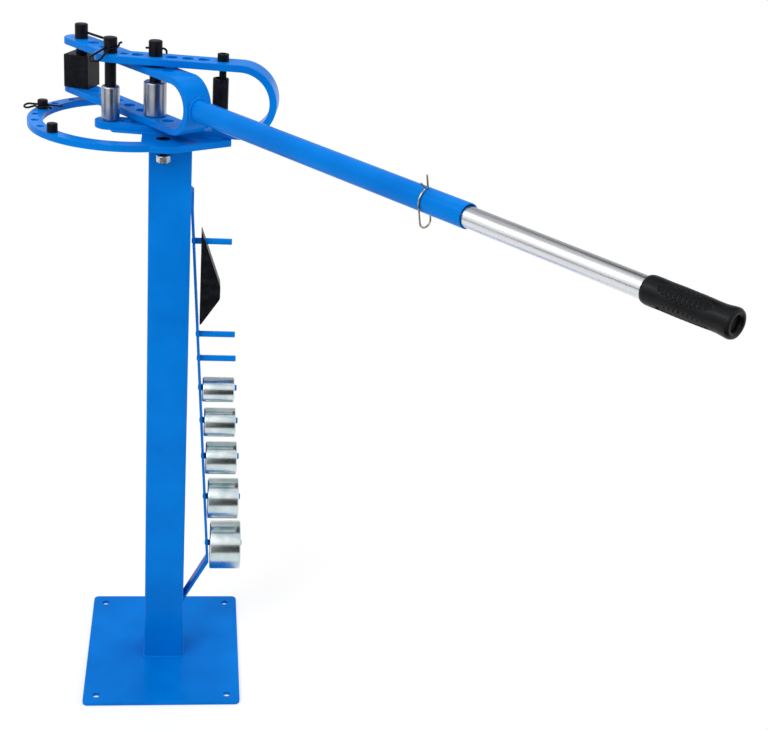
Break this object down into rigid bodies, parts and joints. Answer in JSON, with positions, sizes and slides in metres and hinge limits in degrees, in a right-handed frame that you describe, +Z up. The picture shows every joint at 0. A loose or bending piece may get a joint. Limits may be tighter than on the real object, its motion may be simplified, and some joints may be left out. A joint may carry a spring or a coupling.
{
  "type": "manual pipe bender",
  "caption": "Pedestal bender for pipe and bar: square post on a floor plate, head plate with stop ring, swinging yoke and handle, and a die rack.",
  "frame": {"origin": "centre of the floor plate's underside", "axes": "+Z up, +X towards the die rack, +Y away from the operator"},
  "size_m": [0.7734, 0.9894, 0.9908],
  "materials": {
    "paint": "glossy blue powder coat",
    "black_steel": "black oxide",
    "zinc": "bright zinc plate over turned steel",
    "bare_steel": "turned bare steel",
    "bright_tube": "bright zinc plated tube",
    "grip_rubber": "matte moulded rubber"
  },
  "bodies": {
    "stand": {"base_plate": "paint", "post_tube": "paint", "rack_strap": "paint", "rack_pegs": "paint", "head_plate": "paint", "frame_bar": "paint", "spacer_bolt": "black_steel", "lobe_bolt": "black_steel", "lobe_washer": "zinc", "lobe_nut": "zinc", "lower_washer": "black_steel"},
    "spacer": {"spacer_tube": "black_steel"},
    "handle": {"yoke_bar": "paint", "upper_washer": "black_steel", "handle_sleeve": "paint", "handle_tube": "bright_tube", "handle_grip": "grip_rubber", "handle_clip": "zinc"},
    "pivot_pin": {"centre_pin": "black_steel", "centre_pin_clip": "black_steel"},
    "roller_axle": {"roller_pin": "black_steel", "roller_pin_clip": "black_steel"},
    "nose_pin": {"block_pin": "black_steel", "block_pin_clip": "black_steel"},
    "rear_stop": {"stop_pin_rear": "black_steel", "stop_pin_clip": "black_steel"},
    "front_stop": {"stop_pin_front": "black_steel"},
    "die": {"centre_die": "bare_steel"},
    "roller": {"roller_die": "bare_steel"},
    "block": {"square_block": "black_steel"},
    "spare_die_1": {"rack_die_1": "zinc"},
    "spare_die_2": {"rack_die_2": "zinc"},
    "spare_die_3": {"rack_die_3": "zinc"},
    "spare_die_4": {"rack_die_4": "zinc"},
    "spare_die_5": {"rack_die_5": "zinc"},
    "shoe": {"forming_shoe": "black_steel"}
  },
  "joints": [
    {"name": "handle_swing", "type": "hinge", "parent": "stand", "child": "handle", "pos_m": [-0.0225, 0, 0.9165], "axis": [0, 0, 1], "range_deg": [-100, 13]},
    {"name": "die_spin", "type": "hinge", "parent": "handle", "child": "die", "pos_m": [-0.0225, 0, 0.9105], "axis": [0, 0, 1], "continuous": true},
    {"name": "block_swivel", "type": "hinge", "parent": "handle", "child": "block", "pos_m": [-0.13339, 0.1549, 0.9105], "axis": [0, 0, 1], "continuous": true},
    {"name": "roller_spin", "type": "hinge", "parent": "stand", "child": "roller", "pos_m": [-0.0839, 0.00863, 0.8995], "axis": [0, 0, 1], "continuous": true},
    {"name": "spacer_spin", "type": "hinge", "parent": "stand", "child": "spacer", "pos_m": [0.06722, -0.01261, 0.9105], "axis": [0, 0, 1], "continuous": true},
    {"name": "pivot_pin_lift", "type": "slide", "parent": "stand", "child": "pivot_pin", "axis": [0, 0, 1], "range_m": [0, 0.12]},
    {"name": "roller_axle_lift", "type": "slide", "parent": "stand", "child": "roller_axle", "axis": [0, 0, 1], "range_m": [0, 0.11]},
    {"name": "nose_pin_lift", "type": "slide", "parent": "handle", "child": "nose_pin", "axis": [0, 0, 1], "range_m": [0, 0.09]},
    {"name": "rear_stop_lift", "type": "slide", "parent": "stand", "child": "rear_stop", "axis": [0, 0, 1], "range_m": [0, 0.03]},
    {"name": "front_stop_lift", "type": "slide", "parent": "stand", "child": "front_stop", "axis": [0, 0, 1], "range_m": [0, 0.03]},
    {"name": "spare_die_1_off", "type": "slide", "parent": "stand", "child": "spare_die_1", "axis": [1, 0, 0], "range_m": [0, 0.06]},
    {"name": "spare_die_2_off", "type": "slide", "parent": "stand", "child": "spare_die_2", "axis": [1, 0, 0], "range_m": [0, 0.06]},
    {"name": "spare_die_3_off", "type": "slide", "parent": "stand", "child": "spare_die_3", "axis": [1, 0, 0], "range_m": [0, 0.06]},
    {"name": "spare_die_4_off", "type": "slide", "parent": "stand", "child": "spare_die_4", "axis": [1, 0, 0], "range_m": [0, 0.06]},
    {"name": "spare_die_5_off", "type": "slide", "parent": "stand", "child": "spare_die_5", "axis": [1, 0, 0], "range_m": [0, 0.06]},
    {"name": "shoe_off", "type": "slide", "parent": "stand", "child": "shoe", "axis": [1, 0, 0], "range_m": [0, 0.06]}
  ]
}
